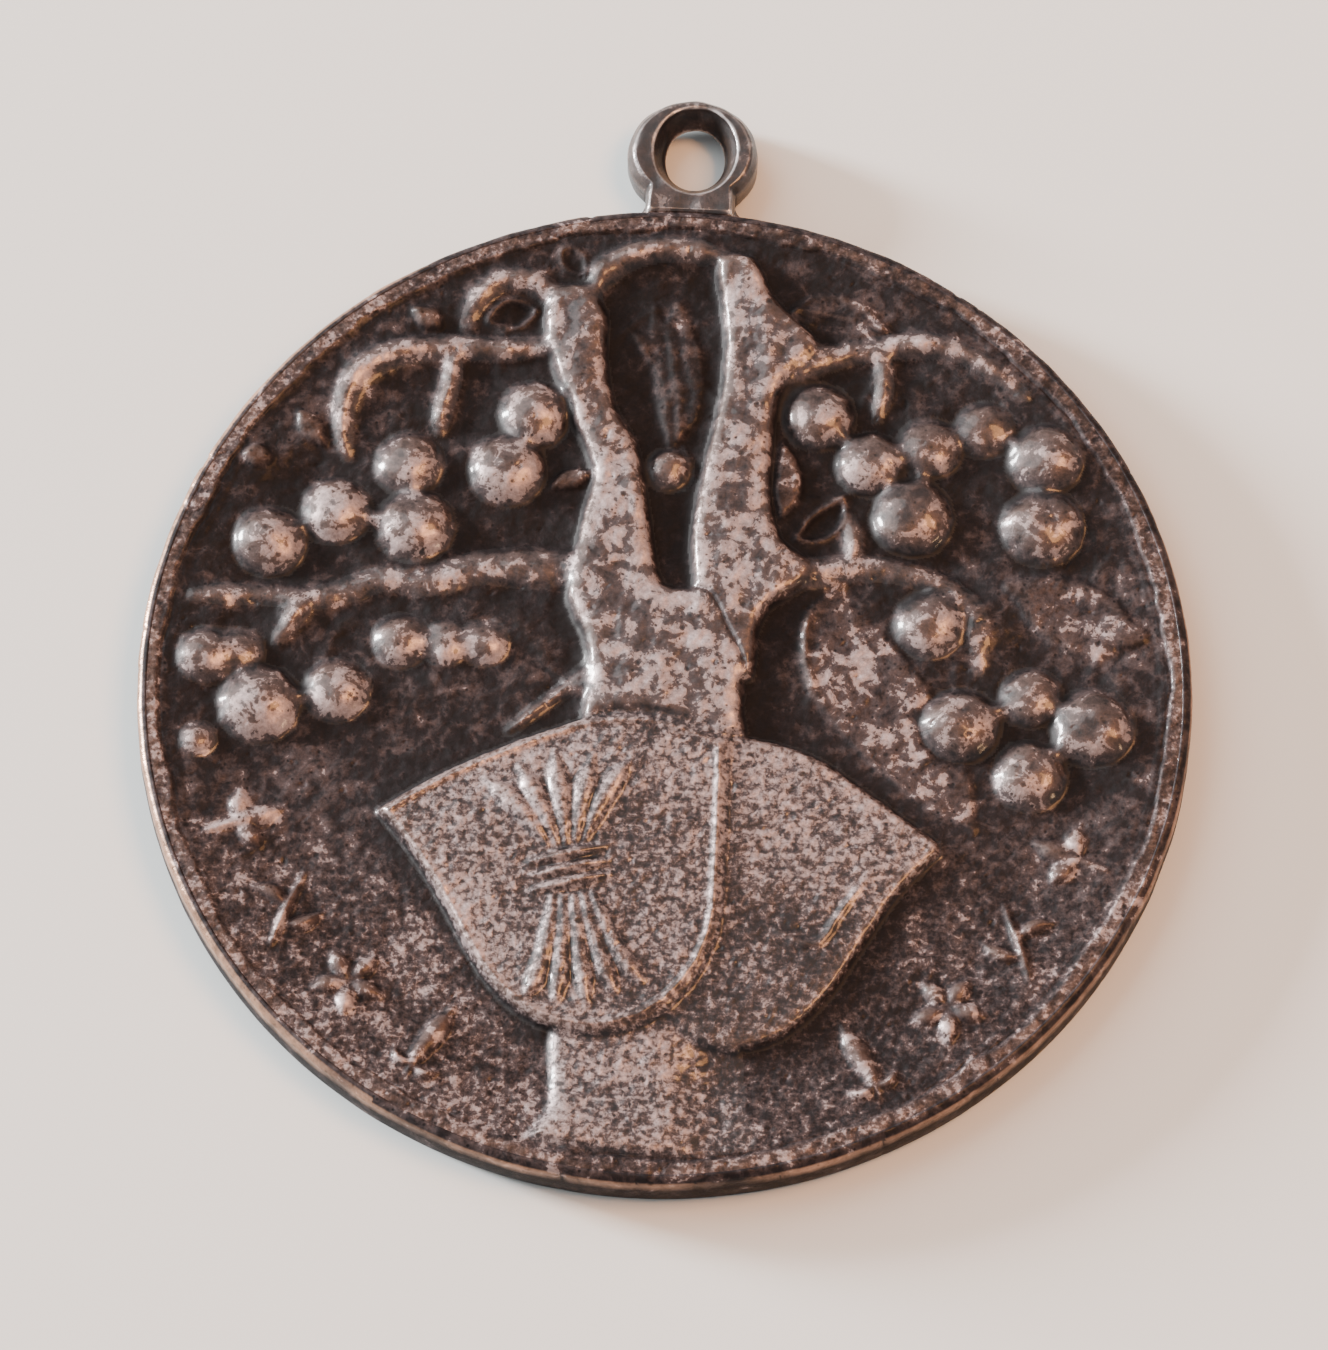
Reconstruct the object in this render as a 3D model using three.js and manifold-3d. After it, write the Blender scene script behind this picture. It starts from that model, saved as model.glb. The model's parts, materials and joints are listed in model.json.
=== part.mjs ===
// A struck bronze commemorative medal with a hanging eyelet on its top edge.
// The front carries a two-stemmed fruit tree that grows from behind two shields,
// with a row of small ornaments round the lower rim.
//
// The medal lies on its back. +Z is the front face, +Y points at the eyelet, and the
// origin is the middle of the back, on the plane that the medal rests on. Millimetres.
import * as THREE from 'three';
import { mergeVertices } from 'three/addons/utils/BufferGeometryUtils.js';
import Module from 'manifold-3d';

const wasm = await Module();
wasm.setup();

// Blank
const MEDAL_RADIUS = 16;
const RIM_HEIGHT = 1.6;
const FIELD_HEIGHT = 1.25;
const FIELD_RADIUS = 15.1;
const RIM_WIDTH = 0.6;
const EDGE_ROUNDING = 0.3;

// Relief
const RELIEF_RADIUS = 15;
const RELIEF_CEILING = 2;
const GAP = 0.12;
const SHIELD_RELIEF = 0.45;
const REAR_SHIELD_RELIEF = 0.3;
const TRUNK_RELIEF = 0.5;
const BASE_RELIEF = 0.25;
const ROOT_RELIEF = 0.25;
const STALK_RELIEF = 0.3;
const STALK_WIDTH = 0.5;
const LEAF_RELIEF = 0.2;
const CHARGE_RELIEF = 0.2;
const BORDER_RELIEF = 0.1;
const BORDER_OUTSIDE = 0.95;
const BORDER_INSIDE = 0.9;
const ORNAMENT_RELIEF = 0.22;
const FRUIT_FULLNESS = 0.5;

// Eyelet
const EYELET_CENTRE = 18.1;
const EYELET_THICKNESS = 1.6;
const EYELET_HALF_WIDTH = 2.05;
const EYELET_HALF_HEIGHT = 1.9;
const EYELET_ROUNDING = 0.35;
const HOLE_LIP_HALF_WIDTH = 1.25;
const HOLE_LIP_HALF_HEIGHT = 1.4;
const HOLE_WAIST = 0.75;
const FOOT_WIDTH = 3;
const FOOT_TOP = 17.3;
const FOOT_THICKNESS = 1.2;
const SOLDER_WIDTH = 3.3;
const SOLDER_LENGTH = 0.3;
const EYELET_BOTTOM = MEDAL_RADIUS + SOLDER_LENGTH + GAP;

// Facets
const RIM_SEGMENTS = 80;
const FRUIT_SEGMENTS = 12;
const FRUIT_RINGS = 3;
const STROKE_FACETS = 4;
const EYELET_SEGMENTS = 24;
const STEPS_PER_POINT = 2;
const BEVEL_STEPS = 2;
const CURVE_STEPS = 7;

const BRONZE = { color: 0x6f5c57, roughness: 0.5, metalness: 0.85 };
const WORN_BRONZE = { color: 0x8f7b74, roughness: 0.45, metalness: 0.85 };
const SOLDER = { color: 0x5e504c, roughness: 0.6, metalness: 0.8 };

const medal = new THREE.Group();
medal.name = 'medal';

// ---------------------------------------------------------------- solids and meshes

function solidFrom(geometry) {
  const bare = geometry.clone();
  bare.deleteAttribute('normal');
  bare.deleteAttribute('uv');
  const merged = mergeVertices(bare, 1e-5);
  const corners = merged.index.array;
  const kept = [];
  for (let i = 0; i < corners.length; i += 3) {
    const [a, b, c] = [corners[i], corners[i + 1], corners[i + 2]];
    if (a !== b && b !== c && c !== a) kept.push(a, b, c);
  }
  return new wasm.Manifold(new wasm.Mesh({
    numProp: 3,
    vertProperties: new Float32Array(merged.attributes.position.array),
    triVerts: new Uint32Array(kept),
  }));
}

function geometryFrom(solid) {
  const mesh = solid.getMesh();
  const geometry = new THREE.BufferGeometry();
  geometry.setAttribute('position', new THREE.BufferAttribute(mesh.vertProperties, 3));
  geometry.setIndex(new THREE.BufferAttribute(mesh.triVerts, 1));
  geometry.computeVertexNormals();
  return geometry;
}

function addPart(name, geometry, finish) {
  const mesh = new THREE.Mesh(geometry, new THREE.MeshStandardMaterial(finish));
  mesh.name = name;
  medal.add(mesh);
}

function largestBody(solid) {
  const bodies = solid.decompose();
  return bodies.reduce((best, body) => (body.volume() > best.volume() ? body : best));
}

// A lathe profile of [radius, height] points, turned about +Z.
function turned(profile, segments) {
  const points = profile.map(([radius, height]) => new THREE.Vector2(radius, height));
  return new THREE.LatheGeometry(points, segments).rotateX(Math.PI / 2);
}

// ---------------------------------------------------------------- relief shapes
// Each relief shape is a body and the taller, wider clearance that it cuts out of the
// shapes behind it. Both stand on `base`.

function relief(makeSolid) {
  return { body: makeSolid(0, false), clearance: makeSolid(GAP, true) };
}

function joined(...shapes) {
  const union = (key) => shapes.map((shape) => shape[key]).reduce((a, b) => a.add(b));
  return { body: union('body'), clearance: union('clearance') };
}

// A fruit or berry: a rounded dome.
function dome(x, y, radius, height = radius * FRUIT_FULLNESS, base = FIELD_HEIGHT) {
  return relief((grow, tall) => {
    const profile = [[0, 0], [radius + grow, 0]];
    const rise = tall ? RELIEF_CEILING : height;
    for (let ring = 1; ring < FRUIT_RINGS; ring += 1) {
      const angle = (ring / FRUIT_RINGS) * (Math.PI / 2);
      const spread = tall ? 1 : Math.cos(angle);
      profile.push([(radius + grow) * spread, rise * Math.sin(angle)]);
    }
    profile.push([0, rise]);
    return solidFrom(turned(profile, FRUIT_SEGMENTS).translate(x, y, base));
  });
}

// A branch, leaf or tendril: a half-round bar along [x, y, width] points.
function stroke(points, height, { base = FIELD_HEIGHT, steps = points.length * STEPS_PER_POINT } = {}) {
  const route = points.map(([x, y, width]) => new THREE.Vector3(x, y, width));
  const curve = new THREE.CatmullRomCurve3(route, false, 'centripetal');
  const widest = Math.max(...points.map((point) => point[2]));
  return relief((grow, tall) => {
    const vertices = [];
    const faces = [];
    for (let i = 0; i <= steps; i += 1) {
      const here = curve.getPoint(i / steps);
      const ahead = curve.getPoint(Math.min(1, (i + 0.1) / steps));
      const behind = curve.getPoint(Math.max(0, (i - 0.1) / steps));
      const across = new THREE.Vector2(behind.y - ahead.y, ahead.x - behind.x).normalize();
      const endRounding = Math.min(1, 0.35 + 0.33 * Math.min(i, steps - i));
      const halfWidth = (here.z / 2) * endRounding + grow;
      const rise = tall ? RELIEF_CEILING : height * endRounding * Math.sqrt(here.z / widest);
      for (let k = 0; k <= STROKE_FACETS; k += 1) {
        const angle = Math.PI * (k / STROKE_FACETS);
        const aside = halfWidth * Math.cos(angle);
        const up = rise * Math.sin(angle);
        vertices.push(here.x + across.x * aside, here.y + across.y * aside, base + up);
      }
    }
    const ring = STROKE_FACETS + 1;
    for (let i = 0; i < steps; i += 1) {
      for (let k = 0; k < ring; k += 1) {
        const a = i * ring + k;
        const b = i * ring + ((k + 1) % ring);
        faces.push(a, b, a + ring, b, b + ring, a + ring);
      }
    }
    const last = steps * ring;
    for (let k = 1; k < ring - 1; k += 1) {
      faces.push(0, k + 1, k);
      faces.push(last, last + k, last + k + 1);
    }
    const geometry = new THREE.BufferGeometry();
    geometry.setAttribute('position', new THREE.Float32BufferAttribute(vertices, 3));
    geometry.setIndex(faces);
    return solidFrom(geometry);
  });
}

// A closed smooth outline through [x, y] points.
function smoothOutline(points) {
  const route = points.map(([x, y]) => new THREE.Vector3(x, y, 0));
  const curve = new THREE.CatmullRomCurve3(route, true, 'centripetal');
  return curve.getPoints(points.length * STEPS_PER_POINT).slice(0, -1);
}

// The outline moved outward by `distance`, or inward where it is negative.
function offsetOutline(outline, distance) {
  const turn = THREE.ShapeUtils.isClockWise(outline) ? -1 : 1;
  return outline.map((point, i) => {
    const before = outline[(i + outline.length - 1) % outline.length];
    const after = outline[(i + 1) % outline.length];
    const along = new THREE.Vector2(after.x - before.x, after.y - before.y).normalize();
    return new THREE.Vector2(
      point.x + turn * along.y * distance,
      point.y - turn * along.x * distance,
    );
  });
}

// A flat-topped plate with rounded shoulders.
function plate(outline, height, { base = FIELD_HEIGHT, shoulder = 0.2 } = {}) {
  return relief((grow, tall) => {
    const shape = new THREE.Shape(offsetOutline(outline, grow));
    const rounding = tall ? 0 : Math.min(shoulder, height);
    const rise = tall ? RELIEF_CEILING : height - rounding;
    const geometry = new THREE.ExtrudeGeometry(shape, {
      depth: rise + rounding,
      bevelEnabled: rounding > 0,
      bevelThickness: rounding,
      bevelSize: rounding,
      bevelOffset: -rounding,
      bevelSegments: BEVEL_STEPS,
    });
    return solidFrom(geometry.translate(0, 0, base - rounding));
  });
}

const reliefZone = solidFrom(
  new THREE.CylinderGeometry(RELIEF_RADIUS, RELIEF_RADIUS, RELIEF_CEILING, RIM_SEGMENTS)
    .rotateX(Math.PI / 2)
    .translate(0, 0, FIELD_HEIGHT + RELIEF_CEILING / 2),
);

// Strikes shapes on the field from front to back: each one is cut by those in front.
const struckInFront = [];

function strike(name, shape, finish = BRONZE) {
  let body = shape.body.intersect(reliefZone);
  for (const inFront of struckInFront) {
    body = body.subtract(inFront.clearance);
  }
  struckInFront.push(shape);
  addPart(name, geometryFrom(largestBody(body)), finish);
}

// ---------------------------------------------------------------- blank

const disc = [
  [0, 0],
  [MEDAL_RADIUS - EDGE_ROUNDING, 0],
  [MEDAL_RADIUS, EDGE_ROUNDING],
  [MEDAL_RADIUS, RIM_HEIGHT - EDGE_ROUNDING],
  [MEDAL_RADIUS - EDGE_ROUNDING, RIM_HEIGHT],
  [MEDAL_RADIUS - RIM_WIDTH, RIM_HEIGHT],
  [FIELD_RADIUS, FIELD_HEIGHT],
  [0, FIELD_HEIGHT],
];
addPart('medal_disc', turned(disc, RIM_SEGMENTS), BRONZE);

// ---------------------------------------------------------------- eyelet

function oval(halfWidth, halfHeight, path) {
  path.absellipse(0, EYELET_CENTRE, halfWidth, halfHeight, 0, 2 * Math.PI, false);
  return path;
}

// The ring: two mirrored halves, each a dished cone from the lip to the narrow waist.
function eyeletRing() {
  const rounding = EYELET_ROUNDING;
  const outline = oval(EYELET_HALF_WIDTH, EYELET_HALF_HEIGHT, new THREE.Shape());
  const ring = solidFrom(new THREE.ExtrudeGeometry(outline, {
    depth: EYELET_THICKNESS - 2 * rounding,
    bevelThickness: rounding,
    bevelSize: rounding,
    bevelOffset: -rounding,
    bevelSegments: BEVEL_STEPS,
    curveSegments: EYELET_SEGMENTS / 2,
  }).translate(0, 0, rounding));
  const waist = new THREE.Vector3(
    HOLE_LIP_HALF_WIDTH * HOLE_WAIST,
    HOLE_LIP_HALF_HEIGHT * HOLE_WAIST,
    EYELET_THICKNESS / 2,
  );
  const countersink = turned([[0, 0], [1, 0], [1 / HOLE_WAIST, 1], [0, 1]], EYELET_SEGMENTS)
    .scale(waist.x, waist.y, waist.z + GAP / 2);
  const front = solidFrom(countersink.clone().translate(0, EYELET_CENTRE, waist.z - GAP / 2));
  const back = solidFrom(
    countersink.rotateY(Math.PI).translate(0, EYELET_CENTRE, waist.z + GAP / 2),
  );
  return ring.subtract(front).subtract(back);
}

// A block of the foot's thickness, `width` wide, between two distances along +Y.
function footBlock(width, bottom, top, thickness = FOOT_THICKNESS) {
  const block = new THREE.BoxGeometry(width, top - bottom, thickness);
  return solidFrom(block.translate(0, (top + bottom) / 2, EYELET_THICKNESS / 2));
}

function hole() {
  const bore = new THREE.CylinderGeometry(1, 1, EYELET_THICKNESS * 2, EYELET_SEGMENTS);
  bore.rotateX(Math.PI / 2).scale(HOLE_LIP_HALF_WIDTH, HOLE_LIP_HALF_HEIGHT, 1);
  return solidFrom(bore.translate(0, EYELET_CENTRE, EYELET_THICKNESS / 2));
}

const belowEyelet = footBlock(MEDAL_RADIUS, 0, EYELET_BOTTOM, EYELET_THICKNESS * 2);
const foot = footBlock(FOOT_WIDTH, EYELET_BOTTOM, FOOT_TOP).subtract(hole());
const eyelet = eyeletRing().subtract(belowEyelet).add(foot);
addPart('hanging_eyelet', geometryFrom(eyelet), BRONZE);

// The solder saddle between the round edge of the blank and the foot of the eyelet.
function solderSaddle() {
  const saddle = footBlock(SOLDER_WIDTH, MEDAL_RADIUS - 1, MEDAL_RADIUS + SOLDER_LENGTH);
  const reach = MEDAL_RADIUS + GAP;
  const rim = turned([[0, -1], [reach, -1], [reach, 3], [0, 3]], RIM_SEGMENTS);
  return saddle.subtract(solidFrom(rim));
}

addPart('eyelet_solder', geometryFrom(solderSaddle()), SOLDER);

// ---------------------------------------------------------------- shields

function shieldOutline(start, ...curves) {
  const shape = new THREE.Shape();
  shape.moveTo(...start);
  for (const curve of curves) {
    if (curve.length === 2) shape.lineTo(...curve);
    if (curve.length === 4) shape.quadraticCurveTo(...curve);
    if (curve.length === 6) shape.bezierCurveTo(...curve);
  }
  const points = shape.getPoints(CURVE_STEPS);
  return points[0].distanceTo(points.at(-1)) < GAP ? points.slice(0, -1) : points;
}

const frontShield = shieldOutline(
  [-8.45, -4.5],
  [-6.1, -2.65, -2.4, -1.25],
  [-0.4, -0.55, 2.1, -1.7],
  [2.15, -7.2],
  [2.0, -9.6, 0.4, -11.4, -1.6, -11.45],
  [-3.9, -11.4, -5.0, -9.8, -5.9, -8.1],
  [-7.3, -5.6, -8.45, -4.5],
);
const rearShield = shieldOutline(
  [1.0, -1.9],
  [2.2, -1.6],
  [4.2, -1.7, 5.6, -2.75],
  [8.45, -4.75],
  [8.5, -5.1],
  [7.35, -6.2, 6.9, -7.1],
  [5.6, -9.4],
  [4.9, -10.5, 3.9, -11.6, 2.6, -11.6],
  [1.4, -11.5, 0, -10.4],
);

strike('shield_front', plate(frontShield, SHIELD_RELIEF), WORN_BRONZE);
strike('shield_rear', plate(rearShield, REAR_SHIELD_RELIEF, { shoulder: 0.15 }), WORN_BRONZE);

// Shapes on the flat top of a shield. They touch nothing else.
const SHIELD_TOP = FIELD_HEIGHT + SHIELD_RELIEF;
const REAR_SHIELD_TOP = FIELD_HEIGHT + REAR_SHIELD_RELIEF;

function shrunkOutline(outline, factor) {
  const middle = new THREE.Box2().setFromPoints(outline).getCenter(new THREE.Vector2());
  return outline.map((point) => point.clone().sub(middle).multiplyScalar(factor).add(middle));
}

function shieldBorder() {
  const square = { base: SHIELD_TOP, shoulder: 0 };
  const outside = plate(shrunkOutline(frontShield, BORDER_OUTSIDE), BORDER_RELIEF, square);
  const inside = plate(shrunkOutline(frontShield, BORDER_INSIDE), BORDER_RELIEF, square);
  return outside.body.subtract(inside.clearance);
}

addPart('shield_front_border', geometryFrom(shieldBorder()), WORN_BRONZE);

const rearRib = [[3.3, -7.6, 0.3], [4.9, -8.25, 0.3], [5.6, -7.2, 0.25], [6.3, -6.1, 0.2]];
const rearRibStroke = stroke(rearRib, 0.1, { base: REAR_SHIELD_TOP });
addPart('shield_rear_rib', geometryFrom(rearRibStroke.body), WORN_BRONZE);

// A generic sheaf of wheat stands on the front shield, along the shield's own axis.
const SHEAF_TIE = new THREE.Vector2(-2.55, -6.2);
const SHEAF_TILT = 0.17;
const TIE_SPACING = 0.45;
const TIE_HALF_LENGTH = 1.25;
const TIE_SLOPE = 0.12;

function onSheaf(aside, along) {
  const point = new THREE.Vector2(aside, along).rotateAround(new THREE.Vector2(), SHEAF_TILT);
  return [SHEAF_TIE.x + point.x, SHEAF_TIE.y + point.y];
}

function sheafStroke(points) {
  const route = points.map(([aside, along, width]) => [...onSheaf(aside, along), width]);
  return stroke(route, CHARGE_RELIEF, { base: SHIELD_TOP, steps: points.length * 2 });
}

function sheafEars() {
  const ears = [-2, -1, 0, 1, 2].map((step) => {
    const lean = step * 0.62;
    return sheafStroke([
      [step * 0.28, 0.8, 0.36],
      [step * 0.3 + lean * 0.3, 1.6, 0.5],
      [step * 0.32 + lean * 0.75, 2.7 - Math.abs(step) * 0.1, 0.7],
      [step * 0.34 + lean * 1.3, 3.9 - Math.abs(step) * 0.3, 0.16],
    ]);
  });
  return joined(...ears);
}

function sheafStraw() {
  const stalks = [-2, -1, 0, 1, 2].map((step) => sheafStroke([
    [step * 0.3, -0.8, 0.44],
    [step * 0.42, -1.9, 0.5],
    [step * 0.66, -3.2, 0.62],
    [step * 0.88, -4.3 + Math.abs(step) * 0.2, 0.66],
  ]));
  return joined(...stalks);
}

addPart('sheaf_ears', geometryFrom(sheafEars().body), WORN_BRONZE);
addPart('sheaf_straw', geometryFrom(sheafStraw().body), WORN_BRONZE);

for (const band of [-1, 0, 1]) {
  const along = band * TIE_SPACING;
  const tie = sheafStroke([
    [-TIE_HALF_LENGTH, along - TIE_SLOPE, 0.3],
    [0, along, 0.36],
    [TIE_HALF_LENGTH, along + TIE_SLOPE, 0.3],
  ]);
  addPart(`sheaf_tie_${band + 2}`, geometryFrom(tie.body), WORN_BRONZE);
}

// ---------------------------------------------------------------- fruit

const fruitClusters = {
  fruit_left_inner: [[-4.45, 8.85, 1.1], [-5.2, 6.95, 1.18]],
  fruit_left_outer: [[-8.2, 7, 1.05], [-7.9, 4.9, 1.2], [-10.35, 5.3, 1.08], [-12.3, 4.2, 1.12]],
  fruit_left_hanging: [[-8.1, 1.1, 0.85], [-6.75, 1.05, 0.65], [-5.55, 1.15, 0.7]],
  fruit_left_low: [
    [-13.9, 0.3, 0.9], [-13, 0.5, 0.75], [-12.25, -1.15, 1.25], [-9.95, -0.6, 1],
  ],
  fruit_left_berry: [[-14, -2.45, 0.5]],
  fruit_right_inner: [[4.3, 9.2, 1.1], [5.95, 7.7, 1.05], [7.75, 8.3, 1], [7.3, 5.95, 1.25]],
  fruit_right_outer: [[9.4, 9, 0.9], [11.3, 8, 1.15], [11.3, 5.8, 1.25]],
  fruit_right_hanging: [[7.95, 2.4, 1.1]],
  fruit_right_low: [[9, -0.85, 1.2], [11.1, 0.15, 0.95], [13, -0.75, 1.25], [11.15, -2.4, 1.1]],
  fruit_in_fork: [[-0.2, 7.2, 0.68]],
};

// Short stalks tie the fruit of one cluster together where they don't quite meet.
function cluster(fruits) {
  const domes = fruits.map(([x, y, radius]) => dome(x, y, radius));
  const stalks = fruits.slice(1).map(([x, y], i) => {
    const [fromX, fromY] = fruits[i];
    return stroke([[fromX, fromY, STALK_WIDTH], [x, y, STALK_WIDTH]], STALK_RELIEF, { steps: 4 });
  });
  return joined(...domes, ...stalks);
}

for (const [name, fruits] of Object.entries(fruitClusters)) {
  strike(name, cluster(fruits), WORN_BRONZE);
}

// ---------------------------------------------------------------- trunks and branches

const leftTrunk = smoothOutline([
  [-2.3, -2.4], [-2.25, 0.3], [-2.6, 1.6], [-3.1, 2.8], [-2.9, 4.4], [-2.75, 5.6],
  [-2.5, 6.9], [-3.2, 8.6], [-3.9, 10.4], [-4.3, 12.2], [-3.9, 13.1], [-3.1, 13.2],
  [-2.4, 12.3], [-2.35, 10.8], [-2, 9.1], [-1.35, 8.1], [-0.95, 6.5], [-0.6, 4.6],
  [-0.25, 3.3], [0.5, 3.1], [1.1, 3], [1.7, 1.9], [2.3, 0.7], [2.35, -0.6], [2.4, -2.4],
]);
const rightTrunk = smoothOutline([
  [0.8, 1.5], [0.75, 3.4], [0.6, 4.7], [0.7, 6.1], [0.95, 7.7], [1.25, 9.5], [1.35, 11.4],
  [1.15, 13.1], [1, 14.3], [2, 14.4], [2.6, 13.2], [3.4, 12.4], [4.2, 11.5], [3.5, 10.7],
  [3, 9.6], [2.9, 8], [2.95, 6.2], [3.3, 4.9], [4.3, 4.1], [4, 3.4], [3.1, 2.8],
  [2.7, 1.9], [2.6, 0.4], [1.8, 0.2],
]);
const trunkBase = smoothOutline([
  [-2.6, -10.6], [-2.85, -11.8], [-2.7, -13.6], [-3.2, -14.5], [-4.1, -15.4],
  [0, -16], [3.4, -15.4], [2.95, -13.6], [2.8, -11.8], [2.7, -10.6],
]);
const rootRidge = [[-4.7, -1.75, 0.25], [-4, -1.1, 0.25], [-3.1, -0.3, 0.3], [-2.1, 0.9, 0.35]];

strike(
  'left_trunk',
  joined(plate(leftTrunk, TRUNK_RELIEF, { shoulder: 0.3 }), stroke(rootRidge, ROOT_RELIEF)),
  WORN_BRONZE,
);
strike('right_trunk', plate(rightTrunk, TRUNK_RELIEF, { shoulder: 0.25 }), WORN_BRONZE);
strike('trunk_base', plate(trunkBase, BASE_RELIEF), WORN_BRONZE);

// Each branch is a main stroke, then its twigs.
const branches = {
  crown_arch: [
    0.4,
    [[-3, 12.9, 0.7], [-2.4, 13.9, 0.7], [-1.3, 14.5, 0.65], [0, 14.6, 0.6], [1.4, 14.3, 0.6]],
  ],
  crown_loop: [
    0.35,
    [[-3.9, 12.6, 0.7], [-4.7, 13.3, 0.6], [-5.6, 13.35, 0.5], [-6.3, 12.8, 0.45], [-6.75, 11.8, 0.35]],
  ],
  left_upper_branch: [
    0.4,
    [
      [-3.8, 11.3, 0.8], [-5.6, 11, 0.6], [-7.2, 11, 0.65], [-8.7, 10.7, 0.7],
      [-9.8, 10.1, 0.7], [-10.3, 9, 0.55], [-10.3, 7.9, 0.4], [-10.1, 7.1, 0.3],
    ],
    [[-7.1, 10.9, 0.35], [-7.05, 10, 0.4], [-7.3, 8.8, 0.4], [-7.35, 8.1, 0.3]],
  ],
  left_lower_branch: [
    0.4,
    [
      [-2.4, 3.7, 1.6], [-4.4, 3.7, 1.2], [-6, 3.6, 0.9], [-7.4, 3, 0.7], [-8.7, 3.1, 0.6],
      [-9.8, 2.7, 0.6], [-10.9, 2.3, 0.5], [-12.2, 2.4, 0.5], [-13.5, 2.35, 0.55], [-14.6, 2.2, 0.4],
    ],
    [[-10.9, 2.35, 0.3], [-11.3, 1.8, 0.35], [-11.9, 0.9, 0.3]],
  ],
  right_upper_branch: [
    0.35,
    [
      [3, 10, 0.7], [3.8, 10.8, 0.7], [4.9, 11.3, 0.6], [6.1, 11.6, 0.6], [7.3, 11.75, 0.7],
      [8.4, 11.6, 0.45], [9.5, 11.05, 0.35], [10.7, 10.1, 0.3],
    ],
    [[6.1, 11.4, 0.4], [6.3, 10.5, 0.4], [6.1, 9.2, 0.35]],
  ],
  right_lower_branch: [
    0.35,
    [
      [3, 4, 1.3], [4.2, 3.9, 0.9], [5.4, 4.15, 0.7], [6.9, 4.1, 0.6], [8.5, 3.6, 0.55],
      [9.4, 2.7, 0.45], [9.5, 1.6, 0.35], [9.5, 0.9, 0.3],
    ],
    [[5.5, 4.2, 0.35], [5.55, 5, 0.35], [5.4, 5.9, 0.3]],
    [[8.9, 3.7, 0.3], [9, 4.3, 0.3], [8.9, 5.1, 0.25]],
  ],
};

for (const [name, [height, ...strokes]] of Object.entries(branches)) {
  strike(name, joined(...strokes.map((points) => stroke(points, height))), WORN_BRONZE);
}

// ---------------------------------------------------------------- leaves and buds

const leaves = {
  leaf_in_fork: [
    [[-0.2, 7.9, 0.5], [0, 9.2, 1.3], [-0.1, 10.8, 1.5], [-0.15, 12, 0.9], [-0.2, 12.9, 0.2]],
    [[-0.1, 10.9, 0.9], [-0.7, 11.8, 0.6], [-0.95, 12.8, 0.15]],
    [[-0.1, 10.4, 0.9], [-1, 11.3, 0.6], [-1.85, 11.95, 0.15]],
  ],
  leaf_in_loop: [[[-4.5, 12.4, 0.3], [-5.3, 12.2, 1], [-6.1, 11.9, 0.3]]],
  leaf_at_crown: [[[-3.1, 13.6, 0.3], [-3.5, 14.1, 0.7], [-3.9, 14.6, 0.4]]],
  leaf_left_tip: [[[-10.8, 7.5, 0.3], [-11.3, 8.1, 0.7], [-11.7, 8.6, 0.2]]],
  bud_left_top: [[[-7.5, 11.6, 0.3], [-7.9, 11.9, 0.7], [-8.4, 12.2, 0.2]]],
  bud_left_rim: [[[-12.4, 6.9, 0.3], [-12.9, 7, 0.7], [-13.3, 7, 0.3]]],
  leaf_right_top: [
    [[3.3, 12.6, 0.6], [4.2, 12.75, 1.1], [5.3, 12.5, 1.1], [6.3, 12.2, 0.3]],
  ],
  leaf_right_trunk: [[[3.3, 5.6, 0.3], [3.45, 6.5, 0.8], [3.45, 7.4, 0.7], [3.2, 8.3, 0.2]]],
  leaf_right_spur: [[[3.7, 5, 0.2], [4.4, 5.4, 0.8], [4.9, 5.9, 0.8], [5.2, 6.6, 0.2]]],
  leaf_left_stalk: [[[-2.6, 6.9, 0.5], [-3.3, 6.7, 0.6], [-3.8, 6.4, 0.2]]],
  leaf_right_veined: [
    [[5.3, 3.7, 0.3], [5, 2.6, 1.5], [5.6, 1.1, 2.8], [6.8, -0.6, 3], [8.6, -2.9, 1.8], [9.6, -4.3, 0.5]],
  ],
  leaf_right_low: [
    [[10.2, 3.9, 0.5], [11.6, 3.3, 2], [13, 2.6, 2.2], [14.6, 2.2, 0.8]],
  ],
};

for (const [name, strokes] of Object.entries(leaves)) {
  strike(name, joined(...strokes.map((points) => stroke(points, LEAF_RELIEF))));
}

// ---------------------------------------------------------------- rim ornaments
// Four motifs on each side of the trunk's foot, mirrored left to right.

const ORNAMENT_RADIUS = 13.4;
const ORNAMENT_FIRST_ANGLE = 0.5;
const ORNAMENT_ANGLE_STEP = 0.23;

// Local x runs along the rim and local y points at the medal's centre.
function ornamentFrame(side, place) {
  const angle = side * (ORNAMENT_FIRST_ANGLE + place * ORNAMENT_ANGLE_STEP);
  const outward = new THREE.Vector2(Math.sin(angle), -Math.cos(angle));
  return ([x, y, width]) => [
    outward.x * (ORNAMENT_RADIUS - y) - side * outward.y * x,
    outward.y * (ORNAMENT_RADIUS - y) + side * outward.x * x,
    width,
  ];
}

const petals = [0, 1, 2, 3, 4].map((petal) => (petal / 5) * 2 * Math.PI);

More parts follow.
